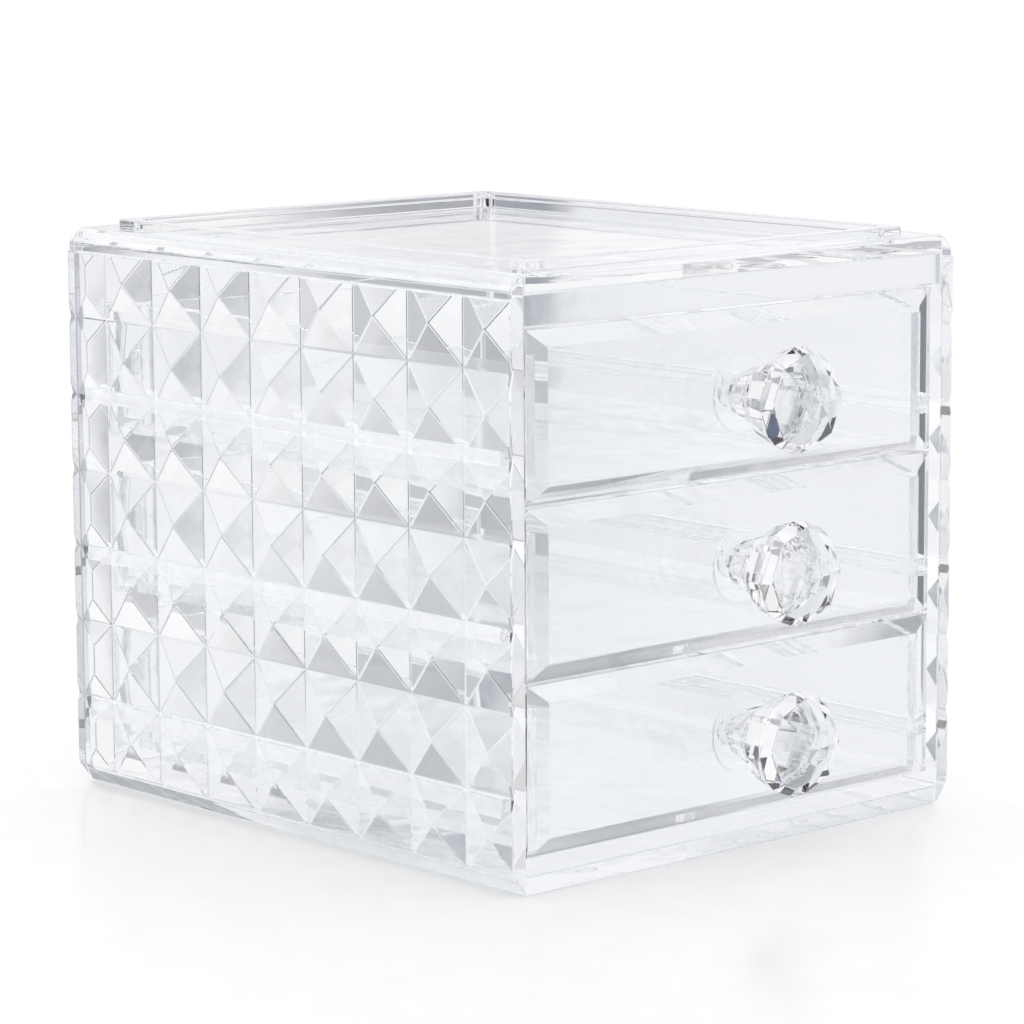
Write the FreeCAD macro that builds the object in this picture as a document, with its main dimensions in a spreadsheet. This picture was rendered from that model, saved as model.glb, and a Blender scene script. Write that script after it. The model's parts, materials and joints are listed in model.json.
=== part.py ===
"""Clear three-drawer vanity organizer: a bevelled case with pyramid-cut sides and a rimmed
top tray, three drawers hung by side flanges in channel runners, and faceted knobs.

Frame: millimetres, +Z up, the drawers open towards -Y, and the origin is at the centre of
the underside of the base panel.
"""
import os

import FreeCAD
import Part
import Sketcher

V = FreeCAD.Vector

# ---------------------------------------------------------------- driving dimensions
DIMENSIONS = [
    # case
    ("case_width", 175.0),          # between the flat borders of the two side panels
    ("case_depth", 203.0),
    ("base_thick", 5.5),
    ("wall_foot", 5.6),             # height of the side panel's lower bevel
    ("wall_head", 168.4),           # height where its upper bevel starts
    ("deck_top", 172.5),            # top of the deck around the tray rim
    ("side_thick", 4.2),
    ("back_thick", 4.0),
    ("header_thick", 4.0),
    ("header_clearance", 0.8),      # over the top drawer's front
    ("bond_gap", 0.1),              # solvent-cement line between bonded pieces
    # pyramid field on the side panels
    ("cell_pitch", 23.5),
    ("cell_relief", 2.8),           # height of a pyramid over its valleys
    ("cell_rows", 8),               # horizontal grooves
    ("cell_columns", 10),           # vertical grooves
    ("row_start", 4.7),             # height of the lowest groove
    ("column_start", 3.3),          # distance of the first groove ahead of the front edge
    ("field_top", 165.6),
    ("field_back", 3.0),            # last groove, ahead of the back edge
    # top tray
    ("deck_thick", 5.5),
    ("rim_inset", 8.0),
    ("rim_thick", 4.0),
    ("rim_height", 2.5),
    ("recess_floor", 3.2),
    ("recess_radius", 5.0),
    ("rim_radius", 2.0),
    # channel runners
    ("runner_low", 10.3),           # over the foot of its drawer front
    ("runner_reach", 4.7),          # from the side panel towards the tub
    ("runner_web", 0.8),
    ("runner_lip", 1.5),
    ("runner_slot", 2.6),
    ("runner_setback", 7.6),        # behind the front edge of the case
    # drawers
    ("drawer_foot", 10.1),          # lowest drawer front over the floor
    ("drawer_pitch", 49.2),
    ("front_height", 48.4),
    ("front_width", 162.0),
    ("front_setback", 0.5),
    ("front_thick", 6.5),
    ("front_bevel_deep", 1.8),
    ("front_bevel_side", 6.8),
    ("front_bevel_end", 5.0),
    ("tub_width", 155.0),
    ("tub_wall", 3.0),
    ("tub_floor", 2.6),
    ("tub_lift", 1.0),              # tub underside over the foot of its front
    ("tub_height", 40.0),
    ("tub_back_gap", 5.0),          # behind the closed tub
    ("tub_corner", 4.0),
    ("flange_thick", 2.2),
    ("flange_reach", 4.3),
    # knobs
    ("rosette_diameter", 23.0),
    ("rosette_thick", 0.8),
    ("neck_foot_radius", 6.6),
    ("neck_radius", 9.4),
    ("neck_length", 13.3),
    ("gem_radius", 15.9),
    ("gem_length", 17.1),
    ("facets", 8),
    ("stud_diameter", 5.0),
    ("stud_head", 9.0),
    ("stud_head_thick", 2.2),
    ("stud_length", 13.0),
    ("stud_clearance", 0.3),
]


class Size:
    """A length that carries both its value and the expression that gives it."""

    def __init__(self, value, text):
        self.value = float(value)
        self.text = text

    @staticmethod
    def of(number):
        return number if isinstance(number, Size) else Size(number, "(%r)" % float(number))

    def __add__(self, other):
        other = Size.of(other)
        return Size(self.value + other.value, "(%s + %s)" % (self.text, other.text))

    def __sub__(self, other):
        other = Size.of(other)
        return Size(self.value - other.value, "(%s - %s)" % (self.text, other.text))

    def __mul__(self, other):
        other = Size.of(other)
        return Size(self.value * other.value, "(%s * %s)" % (self.text, other.text))

    def __truediv__(self, other):
        other = Size.of(other)
        return Size(self.value / other.value, "(%s / %s)" % (self.text, other.text))

    def __neg__(self):
        return self * -1


# ---------------------------------------------------------------- document and sheet
doc = FreeCAD.newDocument("vanity_organizer")
sheet = doc.addObject("Spreadsheet::Sheet", "dims")
size = {}
for row, (alias, number) in enumerate(DIMENSIONS, start=1):
    sheet.set("A%d" % row, alias)
    sheet.set("B%d" % row, str(number))
    sheet.setAlias("B%d" % row, alias)
    size[alias] = Size(number, "dims." + alias)
doc.recompute()

parts = []

FRONT = -size["case_depth"] / 2
BACK = size["case_depth"] / 2
INNER = size["case_width"] / 2 - size["side_thick"]      # inner face of a side panel
GAP = size["bond_gap"]


# ---------------------------------------------------------------- modelling helpers
def new_body(label):
    """Starts a sub-part; its label is also the name of its file."""
    body = doc.addObject("PartDesign::Body", label)
    body.Label = label
    parts.append(body)
    return body


def origin_feature(body, role):
    return [item for item in body.Origin.OriginFeatures if item.Role == role][0]


def bind(item, path, length):
    length = Size.of(length)
    item.setExpression(path, length.text)


def new_sketch(body, plane, offset=0, turn=0):
    """A sketch on an origin plane, moved along its normal and turned about its own Y."""
    sketch = body.newObject("Sketcher::SketchObject", body.Name + "_sketch")
    sketch.AttachmentSupport = [(origin_feature(body, plane), "")]
    sketch.MapMode = "FlatFace"
    offset = Size.of(offset)
    sketch.AttachmentOffset = FreeCAD.Placement(V(0, 0, offset.value), FreeCAD.Rotation(V(0, 1, 0), turn))
    if turn == 0:
        bind(sketch, "AttachmentOffset.Base.z", offset)
    return sketch


def draw_polygon(sketch, corners):
    """Closed outline whose every corner is held by two bound coordinates."""
    corners = [(Size.of(x), Size.of(y)) for x, y in corners]
    first = len(sketch.Geometry)
    count = len(corners)
    for index in range(count):
        start = corners[index]
        end = corners[(index + 1) % count]
        line = Part.LineSegment(V(start[0].value, start[1].value, 0), V(end[0].value, end[1].value, 0))
        sketch.addGeometry(line, False)
    for index in range(count):
        following = first + (index + 1) % count
        sketch.addConstraint(Sketcher.Constraint("Coincident", first + index, 2, following, 1))
    for index, (x, y) in enumerate(corners):
        for kind, coordinate in (("DistanceX", x), ("DistanceY", y)):
            constraint = Sketcher.Constraint(kind, first + index, 1, coordinate.value)
            number = sketch.addConstraint(constraint)
            bind(sketch, "Constraints[%d]" % number, coordinate)


def draw_rectangle(sketch, low_x, low_y, high_x, high_y):
    draw_polygon(sketch, [(low_x, low_y), (high_x, low_y), (high_x, high_y), (low_x, high_y)])


def draw_circle(sketch, diameter, centre_y=0):
    diameter = Size.of(diameter)
    centre_y = Size.of(centre_y)
    circle = Part.Circle(V(0, centre_y.value, 0), V(0, 0, 1), diameter.value / 2)
    index = sketch.addGeometry(circle, False)
    sketch.addConstraint(Sketcher.Constraint("DistanceX", index, 3, 0.0))
    height = sketch.addConstraint(Sketcher.Constraint("DistanceY", index, 3, centre_y.value))
    bind(sketch, "Constraints[%d]" % height, centre_y)
    across = sketch.addConstraint(Sketcher.Constraint("Diameter", index, diameter.value))
    bind(sketch, "Constraints[%d]" % across, diameter)


def pad(body, sketch, length, both_ways=False, reverse=False):
    feature = body.newObject("PartDesign::Pad", body.Name + "_pad")
    feature.Profile = sketch
    feature.SideType = "Symmetric" if both_ways else "One side"
    feature.Reversed = reverse
    bind(feature, "Length", length)
    doc.recompute()
    return feature


def cut(body, sketch, length=None, reverse=False):
    """Pocket of a given depth, or right through both ways when no depth is given."""
    before = body.Shape.Volume
    feature = body.newObject("PartDesign::Pocket", body.Name + "_pocket")
    feature.Profile = sketch
    feature.Reversed = reverse
    if length is None:
        feature.SideType = "Symmetric"
        feature.Type = "ThroughAll"
    else:
        feature.Type = "Length"
        bind(feature, "Length", length)
    doc.recompute()
    if body.Shape.Volume > before - 1e-6:
        raise ValueError("a pocket of %s cuts nothing" % body.Label)
    return feature


def repeat_in_line(body, feature, axis, step, count):
    pattern = body.newObject("PartDesign::LinearPattern", body.Name + "_row")
    pattern.Originals = [feature]
    pattern.Direction = (origin_feature(body, axis), [""])
    bind(pattern, "Length", step * (count - 1))
    bind(pattern, "Occurrences", count)
    body.Tip = pattern
    doc.recompute()
    return pattern


def repeat_around(body, feature, count):
    pattern = body.newObject("PartDesign::PolarPattern", body.Name + "_ring")
    pattern.Originals = [feature]
    pattern.Axis = (origin_feature(body, "Z_Axis"), [""])
    pattern.Angle = 360.0
    bind(pattern, "Occurrences", count)
    body.Tip = pattern
    doc.recompute()
    return pattern


def round_edges(body, radius, chosen=None):
    """Fillets the edges that the test chooses, or every edge."""
    tip = body.Tip
    feature = body.newObject("PartDesign::Fillet", body.Name + "_fillet")
    if chosen is None:
        feature.Base = (tip, [""])
        feature.UseAllEdges = True
    else:
        names = ["Edge%d" % (i + 1) for i, edge in enumerate(tip.Shape.Edges) if chosen(edge)]
        feature.Base = (tip, names)
    bind(feature, "Radius", radius)
    body.Tip = feature
    doc.recompute()
    return feature


def is_upright(edge):
    """True for a straight edge along the body's own Z."""
    box = edge.BoundBox
    return box.XLength < 1e-6 and box.YLength < 1e-6 and box.ZLength > 1e-3


def place(body, x, y, z, rotation=FreeCAD.Rotation()):
    x, y, z = Size.of(x), Size.of(y), Size.of(z)
    body.Placement = FreeCAD.Placement(V(x.value, y.value, z.value), rotation)
    for path, length in (("x", x), ("y", y), ("z", z)):
        bind(body, "Placement.Base." + path, length)


# ---------------------------------------------------------------- case
def make_side_panel(label, side):
    """Bevelled wall whose outer face is a field of square pyramids; side is -1 or +1."""
    body = new_body(label)
    outer = size["case_width"] / 2
    blank = outer + size["cell_relief"] * 1.15
    profile = [
        (INNER * side, 0),
        (outer * side, size["wall_foot"]),
        (blank * side, size["wall_foot"]),
        (blank * side, size["field_top"]),
        (outer * side, size["field_top"]),
        (outer * side, size["wall_head"]),
        (INNER * side, size["deck_top"]),
    ]
    outline = new_sketch(body, "XZ_Plane")
    draw_polygon(outline, profile)
    pad(body, outline, size["case_depth"], both_ways=True)

    # V grooves as wide as the pitch leave one square pyramid in each cell
    flare = 1.3
    rim = outer + size["cell_relief"] * flare
    half = size["cell_pitch"] / 2 * flare
    level = size["row_start"]
    groove = new_sketch(body, "XZ_Plane")
    draw_polygon(groove, [(outer * side, level), (rim * side, level - half), (rim * side, level + half)])
    repeat_in_line(body, cut(body, groove), "Z_Axis", size["cell_pitch"], size["cell_rows"])

    ahead = FRONT - size["column_start"]
    groove = new_sketch(body, "XY_Plane")
    draw_polygon(groove, [(outer * side, ahead), (rim * side, ahead - half), (rim * side, ahead + half)])
    repeat_in_line(body, cut(body, groove), "Y_Axis", size["cell_pitch"], size["cell_columns"])

    # one more groove ends the field ahead of the back edge
    last = -FRONT - size["field_back"]
    groove = new_sketch(body, "XY_Plane")
    draw_polygon(groove, [(outer * side, last), (rim * side, last - half), (rim * side, last + half)])
    cut(body, groove)


def make_base_panel():
    body = new_body("base_panel")
    plan = new_sketch(body, "XY_Plane")
    reach = INNER - GAP
    draw_rectangle(plan, -reach, FRONT + size["front_setback"], reach, BACK)
    pad(body, plan, size["base_thick"])
    round_edges(body, 0.4)


def make_back_panel():
    body = new_body("back_panel")
    reach = INNER - GAP
    low = size["base_thick"] + GAP
    high = size["deck_top"] - size["deck_thick"] - GAP
    face = new_sketch(body, "XZ_Plane", -BACK)
    draw_rectangle(face, -reach, low, reach, high)
    pad(body, face, size["back_thick"])
    round_edges(body, 0.3)


def make_front_header():
    """Strip that closes the case between the deck and the top drawer."""
    body = new_body("front_header")
    reach = INNER - GAP
    low = size["drawer_foot"] + size["drawer_pitch"] * 2 + size["front_height"] + size["header_clearance"]
    high = size["deck_top"] - size["deck_thick"] - GAP
    face = new_sketch(body, "XZ_Plane", -(FRONT + size["front_setback"]))
    draw_rectangle(face, -reach, low, reach, high)
    pad(body, face, size["header_thick"], reverse=True)
    round_edges(body, 0.3)


def make_top_tray():
    """Deck with a raised rim around a shallow recess."""
    body = new_body("top_tray")
    reach = INNER - GAP
    underside = size["deck_top"] - size["deck_thick"]
    deck = new_sketch(body, "XY_Plane", underside)
    draw_rectangle(deck, -reach, FRONT, reach, BACK)
    pad(body, deck, size["deck_thick"])
    round_edges(body, 0.4)

    rim_x = INNER - size["rim_inset"]
    rim_y = BACK - size["rim_inset"]
    rim = new_sketch(body, "XY_Plane", size["deck_top"])
    draw_rectangle(rim, -rim_x, -rim_y, rim_x, rim_y)
    pad(body, rim, size["rim_height"])
    top = (size["deck_top"] + size["rim_height"]).value
    round_edges(body, size["rim_radius"], lambda edge: is_upright(edge) and edge.BoundBox.ZMax > top - 1e-3)

    inner_x = rim_x - size["rim_thick"]
    inner_y = rim_y - size["rim_thick"]
    recess = new_sketch(body, "XY_Plane", size["deck_top"] + size["rim_height"])
    draw_rectangle(recess, -inner_x, -inner_y, inner_x, inner_y)
    cut(body, recess, size["deck_thick"] + size["rim_height"] - size["recess_floor"])
    limit = inner_x.value + 1e-3
    round_edges(
        body,
        size["recess_radius"],
        lambda edge: is_upright(edge) and abs(edge.BoundBox.XMax) < limit and edge.BoundBox.ZMax > top - 1e-3,
    )
    round_edges(body, 0.6, lambda edge: edge.BoundBox.ZMin > top - 1e-3)


def make_runner(label, side, foot):
    """C-shaped channel bonded to a side panel; the drawer's flange slides in its slot."""
    body = new_body(label)
    wall = INNER - GAP
    web = wall - size["runner_web"]
    tip = wall - size["runner_reach"]
    low = foot + size["runner_low"]
    slot_low = low + size["runner_lip"]
    slot_high = slot_low + size["runner_slot"]
    high = slot_high + size["runner_lip"]
    front_end = FRONT + size["runner_setback"]
    back_end = BACK - size["back_thick"] - GAP
    section = new_sketch(body, "XZ_Plane", -front_end)
    corners = [
        (wall, low), (tip, low), (tip, slot_low), (web, slot_low),
        (web, slot_high), (tip, slot_high), (tip, high), (wall, high),
    ]
    draw_polygon(section, [(x * side, z) for x, z in corners])
    pad(body, section, back_end - front_end, reverse=True)


# ---------------------------------------------------------------- drawers
# Each drawer is drawn with its front's lower edge at Z = 0 and the case's front edge at Y = 0.
FRONT_FACE = size["front_setback"]
FRONT_REAR = size["front_setback"] + size["front_thick"]
KNOB_HEIGHT = size["front_height"] / 2


def make_tub(label, foot):
    body = new_body(label)
    half = size["tub_width"] / 2
    near = FRONT_REAR + GAP
    far = size["case_depth"] - size["back_thick"] - size["tub_back_gap"]
    wall = size["tub_wall"]
    plan = new_sketch(body, "XY_Plane", size["tub_lift"])
    draw_rectangle(plan, -half, near, half, far)
    pad(body, plan, size["tub_height"])
    round_edges(body, size["tub_corner"], lambda edge: is_upright(edge) and edge.BoundBox.YMin > far.value - 1e-3)

    # the hollow is open at the top and at the front, where the bevelled front closes it
    hollow = new_sketch(body, "XY_Plane", size["tub_lift"] + size["tub_height"])
    draw_rectangle(hollow, -(half - wall), near - 1, half - wall, far - wall)
    cut(body, hollow, size["tub_height"] - size["tub_floor"])
    inner_back = (far - wall).value
    round_edges(
        body,
        size["tub_corner"] - wall / 2,
        lambda edge: is_upright(edge) and abs(edge.BoundBox.YMin - inner_back) < 1e-3,
    )

    flange_low = size["runner_low"] + size["runner_lip"]
    flange_low = flange_low + (size["runner_slot"] - size["flange_thick"]) / 2
    outline = new_sketch(body, "XY_Plane", flange_low)
    tail = far - size["tub_corner"] * 2
    head = size["runner_setback"]
    draw_rectangle(outline, half - wall / 2, head, half + size["flange_reach"], tail)
    draw_rectangle(outline, -half - size["flange_reach"], head, -half + wall / 2, tail)
    pad(body, outline, size["flange_thick"])
    place(body, 0, FRONT, foot)


def make_drawer_front(label, foot):
    """Plate with a raised face: the bevel runs from the full outline to the smaller face."""
    body = new_body(label)
    half = size["front_width"] / 2
    step = FRONT_FACE + size["front_bevel_deep"]
    plate = new_sketch(body, "XZ_Plane", -FRONT_REAR)
    draw_rectangle(plate, -half, 0, half, size["front_height"])
    pad(body, plate, size["front_thick"] - size["front_bevel_deep"])

    wide = new_sketch(body, "XZ_Plane", -step)
    draw_rectangle(wide, -half, 0, half, size["front_height"])
    narrow = new_sketch(body, "XZ_Plane", -FRONT_FACE)
    face_half = half - size["front_bevel_side"]
    face_low = size["front_bevel_end"]
    draw_rectangle(narrow, -face_half, face_low, face_half, size["front_height"] - face_low)
    doc.recompute()
    bevel = body.newObject("PartDesign::AdditiveLoft", body.Name + "_bevel")
    bevel.Profile = wide
    bevel.Sections = [narrow]
    bevel.Ruled = True
    doc.recompute()
    body.Tip = bevel
    round_edges(body, 0.3)

    bore = new_sketch(body, "XZ_Plane")
    draw_circle(bore, size["stud_diameter"] + size["stud_clearance"], KNOB_HEIGHT)
    cut(body, bore)
    place(body, 0, FRONT, foot)


# ---------------------------------------------------------------- knobs
# A knob piece is drawn along its own +Z, which points out of the drawer (towards -Y).
OUTWARD = FreeCAD.Rotation(V(1, 0, 0), 90)


def place_on_front(body, ahead, foot):
    """Sets a knob piece so that its own Z = 0 lies this far ahead of the drawer's face."""
    place(body, 0, FRONT + FRONT_FACE - ahead, foot + KNOB_HEIGHT, OUTWARD)


def cut_tier(body, inner, outer, turn):
    """One ring of flat facets; each passes through two (radius, height) points."""
    beyond = size["gem_radius"] * 1.6
    section = new_sketch(body, "XZ_Plane", 0, turn)
    draw_polygon(section, [inner, outer, (beyond, outer[1]), (beyond, inner[1])])
    repeat_around(body, cut(body, section), size["facets"])


def bore_stud_hole(body, depth):
    mouth = new_sketch(body, "XY_Plane")
    draw_circle(mouth, size["stud_diameter"] + size["stud_clearance"])
    cut(body, mouth, depth, reverse=True)


HALF_FACET = 22.5


def make_rosette(label, foot):
    body = new_body(label)
    disc = new_sketch(body, "XY_Plane")
    draw_circle(disc, size["rosette_diameter"])
    pad(body, disc, size["rosette_thick"])
    round_edges(body, 0.4, lambda edge: edge.BoundBox.ZMin > size["rosette_thick"].value - 1e-3)
    bore_stud_hole(body, size["rosette_thick"] + 1)
    place_on_front(body, GAP, foot)


def make_neck(label, foot):
    body = new_body(label)
    disc = new_sketch(body, "XY_Plane")
    draw_circle(disc, size["neck_radius"] * 2)
    pad(body, disc, size["neck_length"])
    flat = size["neck_radius"] * 0.924
    cut_tier(body, (flat, -1), (flat, size["neck_length"] + 1), HALF_FACET)
    cut_tier(body, (size["neck_foot_radius"] * 0.924, 0), (flat, size["neck_length"] * 0.65), HALF_FACET)
    bore_stud_hole(body, size["stud_length"] - size["front_thick"] - size["rosette_thick"] + 0.5)
    place_on_front(body, size["rosette_thick"] + GAP * 2, foot)


def make_gem(label, foot):
    """Cut ball: a belt of flats between a faceted back and a faceted crown with a table."""
    body = new_body(label)
    radius = size["gem_radius"]
    length = size["gem_length"]
    disc = new_sketch(body, "XY_Plane")
    draw_circle(disc, radius * 2)
    pad(body, disc, length)
    # eight sides, the widening back, the narrowing belt, the crown and its low star
    cut_tier(body, (radius * 0.924, -1), (radius * 0.924, length + 1), HALF_FACET)
    cut_tier(body, (radius * 0.755, 0), (radius * 0.924, length * 0.49), HALF_FACET)
    cut_tier(body, (radius * 0.924, length * 0.49), (radius * 0.80, length * 0.70), HALF_FACET)
    cut_tier(body, (radius * 0.80, length * 0.70), (radius * 0.30, length * 0.945), HALF_FACET)
    cut_tier(body, (radius * 0.30, length * 0.945), (radius * 0.02, length), HALF_FACET)
    # narrow flats that break the corners behind and ahead of the widest place
    cut_tier(body, (radius * 0.79, 0), (radius * 0.955, length * 0.49), 0)
    cut_tier(body, (radius * 0.955, length * 0.49), (radius * 0.85, length * 0.70), 0)
    place_on_front(body, size["rosette_thick"] + size["neck_length"] + GAP * 3, foot)


def make_stud(label, foot):
    """Headed stud, put in from inside the tub, that holds the neck against the front."""
    body = new_body(label)
    head = new_sketch(body, "XY_Plane")
    draw_circle(head, size["stud_head"])
    pad(body, head, size["stud_head_thick"])
    round_edges(body, 0.7, lambda edge: edge.BoundBox.ZMax < 1e-3)
    shank = new_sketch(body, "XY_Plane", size["stud_head_thick"])
    draw_circle(shank, size["stud_diameter"])
    pad(body, shank, size["stud_length"])
    round_edges(body, 0.5, lambda edge: edge.BoundBox.ZMin > (size["stud_head_thick"] + size["stud_length"]).value - 1e-3)
    place_on_front(body, -size["front_thick"] - size["stud_head_thick"] - GAP, foot)


# ---------------------------------------------------------------- assembly
make_base_panel()
make_side_panel("left_side_panel", -1)
make_side_panel("right_side_panel", 1)
make_back_panel()
make_front_header()
make_top_tray()

for level, name in enumerate(["bottom", "middle", "top"]):
    drawer_foot = size["drawer_foot"] + size["drawer_pitch"] * level
    make_runner(name + "_runner_left", -1, drawer_foot)
    make_runner(name + "_runner_right", 1, drawer_foot)
    make_tub(name + "_drawer_tub", drawer_foot)
    make_drawer_front(name + "_drawer_front", drawer_foot)
    make_rosette(name + "_knob_rosette", drawer_foot)
    make_neck(name + "_knob_neck", drawer_foot)
    make_gem(name + "_knob_gem", drawer_foot)
    make_stud(name + "_knob_stud", drawer_foot)

doc.recompute()

# ---------------------------------------------------------------- check and write
for item in doc.Objects:
    if "Invalid" in item.State or "Error" in item.State:
        raise ValueError("%s did not recompute: %s" % (item.Label, item.State))
for body in parts:
    if body.Shape.isNull() or not body.Shape.isValid():
        raise ValueError("%s has no valid shape" % body.Label)

os.makedirs("parts", exist_ok=True)
for body in parts:
    body.Shape.exportStep("parts/%s.step" % body.Label)
    box = body.Shape.BoundBox
    print("%-24s %8.0f mm3  x %7.2f %7.2f  y %7.2f %7.2f  z %7.2f %7.2f" % (
        body.Label, body.Shape.Volume, box.XMin, box.XMax, box.YMin, box.YMax, box.ZMin, box.ZMax))
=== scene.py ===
import json
import math

import bmesh
import bpy
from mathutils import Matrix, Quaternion, Vector
from mathutils.bvhtree import BVHTree


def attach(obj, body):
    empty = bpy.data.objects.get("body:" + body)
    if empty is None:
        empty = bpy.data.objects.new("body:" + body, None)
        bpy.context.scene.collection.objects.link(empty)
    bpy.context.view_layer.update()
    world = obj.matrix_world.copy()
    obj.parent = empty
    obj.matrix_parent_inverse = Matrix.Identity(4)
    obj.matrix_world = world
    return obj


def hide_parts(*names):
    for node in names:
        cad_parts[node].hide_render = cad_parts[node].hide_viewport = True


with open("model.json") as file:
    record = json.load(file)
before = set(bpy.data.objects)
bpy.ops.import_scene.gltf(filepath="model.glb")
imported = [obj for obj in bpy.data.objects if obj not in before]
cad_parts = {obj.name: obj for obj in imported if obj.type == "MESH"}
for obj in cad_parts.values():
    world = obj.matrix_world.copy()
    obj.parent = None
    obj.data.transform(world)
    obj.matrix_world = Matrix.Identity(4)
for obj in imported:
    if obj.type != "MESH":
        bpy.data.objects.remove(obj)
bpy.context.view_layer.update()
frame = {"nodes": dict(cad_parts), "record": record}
scene = bpy.context.scene

# ------------------------------------------------------------------ node helpers


def new_material(name):
    """An empty node material and its tree."""
    material = bpy.data.materials.new(name)
    material.use_nodes = True
    tree = material.node_tree
    tree.nodes.clear()
    return material, tree


def add(tree, kind, **inputs):
    """A node with its input values or links set by socket name."""
    node = tree.nodes.new(kind)
    for name, value in inputs.items():
        socket = node.inputs[name.replace("_", " ")]
        if isinstance(value, bpy.types.NodeSocket):
            tree.links.new(value, socket)
        else:
            socket.default_value = value
    return node


def ramp(tree, source, stops):
    """A colour ramp over the given (position, grey or colour) stops."""
    node = tree.nodes.new("ShaderNodeValToRGB")
    tree.links.new(source, node.inputs["Fac"])
    elements = node.color_ramp.elements
    while len(elements) < len(stops):
        elements.new(0.5)
    for element, (position, colour) in zip(elements, stops):
        element.position = position
        if not isinstance(colour, tuple):
            colour = (colour, colour, colour)
        element.color = (*colour, 1.0)
    return node.outputs["Color"]


def calc(tree, operation, *values):
    """The result of a math node over the given numbers and sockets."""
    node = tree.nodes.new("ShaderNodeMath")
    node.operation = operation
    for socket, value in zip(node.inputs, values):
        if isinstance(value, bpy.types.NodeSocket):
            tree.links.new(value, socket)
        else:
            socket.default_value = value
    return node.outputs[0]


def remap(tree, value, low, high, curve="SMOOTHSTEP"):
    """0 at low and 1 at high, with a soft or straight run between."""
    node = add(tree, "ShaderNodeMapRange", Value=value)
    node.interpolation_type = curve
    node.inputs["From Min"].default_value = low
    node.inputs["From Max"].default_value = high
    return node.outputs["Result"]


def blend(tree, share, under, over):
    """The colour under, with share of the colour over."""
    node = tree.nodes.new("ShaderNodeMix")
    node.data_type = "RGBA"
    for name, value in (("Factor", share), ("A", under), ("B", over)):
        if isinstance(value, bpy.types.NodeSocket):
            tree.links.new(value, node.inputs[name])
        else:
            node.inputs[name].default_value = value
    return node.outputs["Result"]


def vector(tree, operation, first, second=None):
    """A vector math node over a linked vector and, where it takes one, a fixed one."""
    node = add(tree, "ShaderNodeVectorMath", Vector=first)
    node.operation = operation
    if second is not None:
        node.inputs[1].default_value = second
    return node


def apart(tree, way, centre, squash):
    """How far a direction lies from a centre, with its height difference scaled by squash."""
    offset = vector(tree, "SUBTRACT", way, centre).outputs["Vector"]
    flat = vector(tree, "MULTIPLY", offset, (1.0, 1.0, squash)).outputs["Vector"]
    return vector(tree, "LENGTH", flat).outputs["Value"]


def choose(tree, share, under, over):
    """The shader under, with share of the shader over."""
    node = tree.nodes.new("ShaderNodeMixShader")
    for socket, source in zip(node.inputs, (share, under.outputs[0], over.outputs[0])):
        tree.links.new(source, socket)
    return node


def surface(tree, kind, shader):
    """The tree's output node, fed by the shader."""
    tree.links.new(shader.outputs[0], tree.nodes.new(kind).inputs["Surface"])


# ------------------------------------------------------------------ acrylic

ACRYLIC_IOR = 1.49
ROSETTE_IOR = 1.2  # bonded flush, so its rim hardly shows
# Painted shade: a ray past its reach loses this share at each face instead of splitting into a reflection, so edges
# where rays run long inside the acrylic come out darker.
STRAIGHT_SHADE = (0.968, 0.972, 0.978, 1.0)  # what a ray past its reach keeps at each face
PASS = (0.992, 0.993, 0.994, 1.0)  # what a shadow ray keeps at each face


def acrylic(name, tint, wave, haze, clarity=1.0, reach=9.5, ior=ACRYLIC_IOR):
    """Clear acrylic: faint colour drift, polish haze with wipe marks, and the slow waviness of a moulded face.

    wave is the scale and strength of the waviness. Past reach bounces a ray goes straight on, dimmed at each face as
    painted shade, so edges where rays run long inside the acrylic come out darker.
    reach is an odd number and a half, so that a plate bends a ray at both faces or at neither.
    """
    material, tree = new_material(name)
    place = tree.nodes.new("ShaderNodeTexCoord").outputs["Object"]
    drift = add(tree, "ShaderNodeTexNoise", Vector=place, Scale=18.0, Detail=2.0)
    low = tuple(0.982 * c for c in tint)
    colour = ramp(tree, drift.outputs["Fac"], [(0.35, low), (0.65, tint)])
    marks = add(tree, "ShaderNodeTexNoise", Vector=place, Scale=240.0, Detail=4.0, Roughness=0.7)
    rough = ramp(tree, marks.outputs["Fac"], [(0.45, haze), (0.75, haze * 3.0 + 0.01)])
    swell = add(tree, "ShaderNodeTexNoise", Vector=place, Scale=wave[0], Detail=1.0)
    bump = add(tree, "ShaderNodeBump", Strength=wave[1], Distance=0.001, Height=swell.outputs["Fac"])
    glass = add(
        tree,
        "ShaderNodeBsdfPrincipled",
        Base_Color=colour,
        Roughness=rough,
        IOR=ior,
        Normal=bump.outputs["Normal"],
    )
    glass.inputs["Transmission Weight"].default_value = clarity
    lit = add(tree, "ShaderNodeBsdfTransparent", Color=PASS)
    # painted shade: past its reach a ray is dimmed at each face it crosses, darkening the edges
    straight = add(tree, "ShaderNodeBsdfTransparent", Color=STRAIGHT_SHADE)
    path = tree.nodes.new("ShaderNodeLightPath").outputs
    bent = choose(tree, calc(tree, "GREATER_THAN", path["Ray Depth"], reach), glass, straight)
    surface(tree, "ShaderNodeOutputMaterial", choose(tree, path["Is Shadow Ray"], bent, lit))
    return material


MATERIALS = {
    "clear_case": acrylic("case_acrylic", (0.992, 0.996, 1.0), (40.0, 0.05), 0.004, reach=7.5),
    "clear_runner": acrylic("runner_acrylic", (0.99, 0.993, 1.0), (60.0, 0.03), 0.02, 0.65),
    "clear_drawer": acrylic("tub_acrylic", (0.99, 0.994, 1.0), (35.0, 0.12), 0.03, 0.97),
    "clear_front": acrylic("front_acrylic", (0.992, 0.996, 1.0), (30.0, 0.06), 0.004),
    "cut_knob": acrylic("knob_acrylic", (0.995, 0.997, 1.0), (120.0, 0.02), 0.002, reach=11.5),
    "clear_stud": acrylic("stud_acrylic", (0.98, 0.985, 0.99), (150.0, 0.1), 0.01),
}

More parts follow.
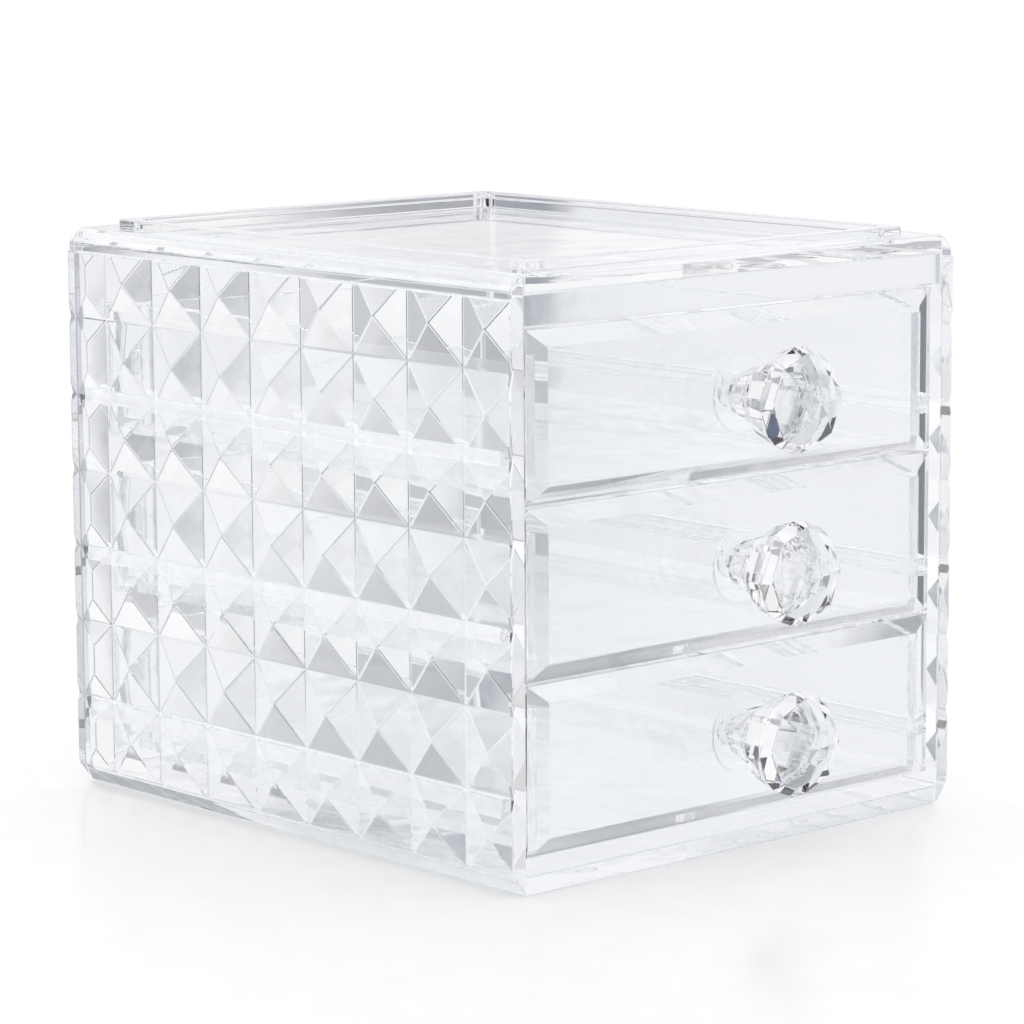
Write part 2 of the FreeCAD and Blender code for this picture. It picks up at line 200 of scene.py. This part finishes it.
SPECIAL = {
    "left_side_panel": acrylic("panel_acrylic", (0.992, 0.996, 1.0), (40.0, 0.05), 0.004, reach=3.5),
    "right_side_panel": acrylic("far_panel_acrylic", (0.992, 0.996, 1.0), (40.0, 0.05), 0.004, reach=1.5),
    "base_panel": acrylic("base_acrylic", (0.95, 0.958, 0.975), (60.0, 0.14), 0.01, reach=7.5),
}
disc = acrylic("rosette_acrylic", (0.99, 0.994, 1.0), (90.0, 0.05), 0.06, 0.93, ior=ROSETTE_IOR)
gem = acrylic("gem_acrylic", (0.96, 0.965, 0.975), (120.0, 0.02), 0.002, reach=11.5)
LEVELS = ("bottom", "middle", "top")
for level in LEVELS:
    SPECIAL[level + "_knob_rosette"] = disc
    SPECIAL[level + "_knob_gem"] = gem

slot_of = {part["node"]: part["material_slot"] for part in frame["record"]["subparts"]}
body_of = {name: body for body, names in frame["record"]["behaviour"]["bodies"].items() for name in names}
for name, node in frame["nodes"].items():
    node.data.materials.clear()
    node.data.materials.append(SPECIAL.get(name, MATERIALS[slot_of[name]]))

# ------------------------------------------------------------------ polished arrises

WELD = 2e-6
FLAT = math.radians(0.8)  # faces that turn less than this are one face
SHARP = math.radians(14.0)  # edges that turn more than this are rounded
PROUD = 0.45  # how far outside the CAD skin a corner may stand, in radii


def soften(name, radius):
    """A copy of a CAD node whose sharp edges are rounded off as polishing leaves them, in that node's place."""
    shape = bmesh.new()
    shape.from_mesh(frame["nodes"][name].data)
    skin = BVHTree.FromBMesh(shape)
    bmesh.ops.remove_doubles(shape, verts=shape.verts, dist=WELD)
    bmesh.ops.dissolve_limit(shape, angle_limit=FLAT, verts=shape.verts, edges=shape.edges)
    sharp = [edge for edge in shape.edges if edge.calc_face_angle(0.0) > SHARP]
    bmesh.ops.bevel(shape, geom=sharp, offset=radius, segments=2, profile=0.5, affect="EDGES")
    for vertex in shape.verts:
        point, normal, _, _ = skin.find_nearest(vertex.co)
        if (vertex.co - point).dot(normal) > PROUD * radius:
            vertex.co = point
    mesh = bpy.data.meshes.new(name + "_polished")
    shape.to_mesh(mesh)
    shape.free()
    mesh.materials.append(SPECIAL.get(name, MATERIALS[slot_of[name]]))
    piece = bpy.data.objects.new(name + "_polished", mesh)
    scene.collection.objects.link(piece)
    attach(piece, body_of[name])
    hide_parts(name)


for side in ("left", "right"):
    soften(side + "_side_panel", 0.0004)
for plate in ("top_tray", "front_header", "base_panel", "back_panel"):
    soften(plate, 0.0003)
for level in LEVELS:
    soften(level + "_drawer_front", 0.0003)
    soften(level + "_knob_gem", 0.0002)
    soften(level + "_knob_neck", 0.00015)
    soften(level + "_runner_left", 0.0003)
    soften(level + "_runner_right", 0.0003)

# ------------------------------------------------------------------ floor

FLOOR_SIZE, FLOOR_DROP = 1.2, 0.0002
FADE_FROM, FADE_TO = 0.28, 0.45  # distances over which the floor gives way to the white background
bpy.ops.mesh.primitive_plane_add(size=FLOOR_SIZE, location=(0.0, 0.0, -FLOOR_DROP))
floor = bpy.context.object
floor.name = "floor"
material, tree = new_material("floor_gloss")
place = tree.nodes.new("ShaderNodeTexCoord").outputs["Object"]
grain = add(tree, "ShaderNodeTexNoise", Vector=place, Scale=60.0, Detail=3.0)
pale = ramp(tree, grain.outputs["Fac"], [(0.3, 0.93), (0.7, 0.95)])
sheet = add(tree, "ShaderNodeBsdfPrincipled", Base_Color=pale, Roughness=0.2)
sheet.inputs["Specular IOR Level"].default_value = 0.5
away = vector(tree, "LENGTH", place).outputs["Value"]
through = tree.nodes.new("ShaderNodeLightPath").outputs["Is Transmission Ray"]
hidden = calc(tree, "MULTIPLY_ADD", through, 0.4, away)  # seen through acrylic, the floor counts as far away
gone = add(tree, "ShaderNodeBsdfTransparent", Color=(1.0, 1.0, 1.0, 1.0))
surface(tree, "ShaderNodeOutputMaterial", choose(tree, remap(tree, hidden, FADE_FROM, FADE_TO), sheet, gone))
floor.data.materials.append(material)

# ------------------------------------------------------------------ studio


def area_lamp(name, place, aim, size, power):
    """A soft rectangular lamp at place, facing aim."""
    data = bpy.data.lights.new(name, "AREA")
    data.shape = "RECTANGLE"
    data.size, data.size_y = size
    data.energy = power
    lamp = bpy.data.objects.new(name, data)
    lamp.location = place
    lamp.rotation_mode = "QUATERNION"
    lamp.rotation_quaternion = (Vector(aim) - Vector(place)).to_track_quat("-Z", "Y")
    scene.collection.objects.link(lamp)


AIM = (0.0, 0.0, 0.1)
area_lamp("lamp_top", (0.1, 0.2, 1.5), AIM, (1.6, 1.6), 4.0)
area_lamp("lamp_left", (-1.6, 0.3, 0.7), AIM, (0.8, 1.2), 2.5)

# The room is what the acrylic reflects and bends. Only glossy and transmission rays see it.
TOWARDS_CAMERA = (-0.5, -0.85, 0.15)
RIM_CENTRE, CARD_CENTRE, SQUASH = (0.7075, 0.6866, -0.24), (0.728, 0.6646, -0.24), 0.3
DARK_PATCHES = (
    ((0.542, 0.831, -0.123), (0.16, 0.17, 0.19, 1.0)),
    ((0.8, 0.584, -0.138), (0.52, 0.53, 0.56, 1.0)),
)
RIM_GREY, CEILING_WHITE = (0.42, 0.43, 0.46, 1.0), (0.97, 0.975, 0.985, 1.0)
CARD_PALE, CARD_WHITE = (0.925, 0.93, 0.955, 1.0), (1.0, 1.0, 1.0, 1.0)

world = bpy.data.worlds.new("studio")
scene.world = world
world.use_nodes = True
tree = world.node_tree
tree.nodes.clear()
way = tree.nodes.new("ShaderNodeTexCoord").outputs["Generated"]
upright = add(tree, "ShaderNodeMapping", Vector=way, Scale=(7.0, 7.0, 6.0)).outputs["Vector"]
cards = add(tree, "ShaderNodeTexNoise", Vector=upright, Scale=1.0, Detail=1.0, Roughness=0.4)
behind = ramp(
    tree,
    cards.outputs["Fac"],
    [(0.37, (0.36, 0.37, 0.41)), (0.465, (0.6, 0.61, 0.64)), (0.5, (0.93, 0.935, 0.95)), (0.57, 1.0)],
)
slivers = add(tree, "ShaderNodeTexNoise", Vector=way, Scale=5.0, Detail=1.0, Roughness=0.4)
dark = ramp(
    tree,
    slivers.outputs["Fac"],
    [(0.475, (0.02, 0.022, 0.027)), (0.485, (0.06, 0.1, 0.2)), (0.497, (0.45, 0.42, 0.39)), (0.525, 0.86), (0.56, 1.0)],
)
mild = ramp(tree, slivers.outputs["Fac"], [(0.43, (0.52, 0.53, 0.56)), (0.5, 0.86), (0.55, 1.0)])
height = add(tree, "ShaderNodeSeparateXYZ", Vector=way).outputs["Z"]
ahead = blend(tree, remap(tree, height, 0.0, 0.1), mild, dark)
facing = vector(tree, "DOT_PRODUCT", way, TOWARDS_CAMERA)
share = remap(tree, facing.outputs["Value"], -0.7, -0.2, "LINEAR")
sky = blend(tree, share, behind, ahead)

aside = apart(tree, way, RIM_CENTRE, SQUASH)
rim = ramp(tree, calc(tree, "MULTIPLY", aside, 5.0), [(0.42, 0.0), (0.48, 0.75), (0.6, 0.75), (0.72, 0.0)])
sky = blend(tree, rim, sky, RIM_GREY)
for centre, colour in DARK_PATCHES:
    sky = blend(tree, remap(tree, apart(tree, way, centre, 0.6), 0.07, 0.04), sky, colour)
card = remap(tree, apart(tree, way, CARD_CENTRE, SQUASH), 0.105, 0.095)
sky = blend(tree, card, sky, blend(tree, remap(tree, height, -0.25, -0.29), CARD_PALE, CARD_WHITE))
below = remap(tree, height, -0.4, -0.65)
ceiling = calc(tree, "MULTIPLY", remap(tree, height, 0.07, 0.085), calc(tree, "SUBTRACT", 1.0, share))
sky = blend(tree, calc(tree, "MAXIMUM", below, ceiling), sky, CEILING_WHITE)
room = add(tree, "ShaderNodeBackground", Color=sky, Strength=1.0)
white = add(tree, "ShaderNodeBackground", Color=(1.0, 1.0, 1.0, 1.0), Strength=1.0)
path = tree.nodes.new("ShaderNodeLightPath").outputs
glint = calc(tree, "MAXIMUM", path["Is Glossy Ray"], path["Is Transmission Ray"])
surface(tree, "ShaderNodeOutputWorld", choose(tree, glint, white, room))

# ------------------------------------------------------------------ camera

AZIMUTH, ELEVATION, ROLL = -0.72883, 0.15830, -0.0055
back = Vector(
    (
        math.sin(AZIMUTH) * math.cos(ELEVATION),
        -math.cos(AZIMUTH) * math.cos(ELEVATION),
        math.sin(ELEVATION),
    )
)
data = bpy.data.cameras.new("camera")
data.sensor_width = 36.0
data.lens = 144.02
camera = bpy.data.objects.new("camera", data)
camera.location = (-0.8180, -0.9191, 0.2832)
camera.rotation_mode = "QUATERNION"
camera.rotation_quaternion = (-back).to_track_quat("-Z", "Y") @ Quaternion((0.0, 0.0, 1.0), ROLL)
scene.collection.objects.link(camera)
scene.camera = camera

scene.view_settings.view_transform = "Standard"
scene.cycles.max_bounces = 24
scene.cycles.transmission_bounces = 24
scene.cycles.glossy_bounces = 8
scene.cycles.transparent_max_bounces = 48
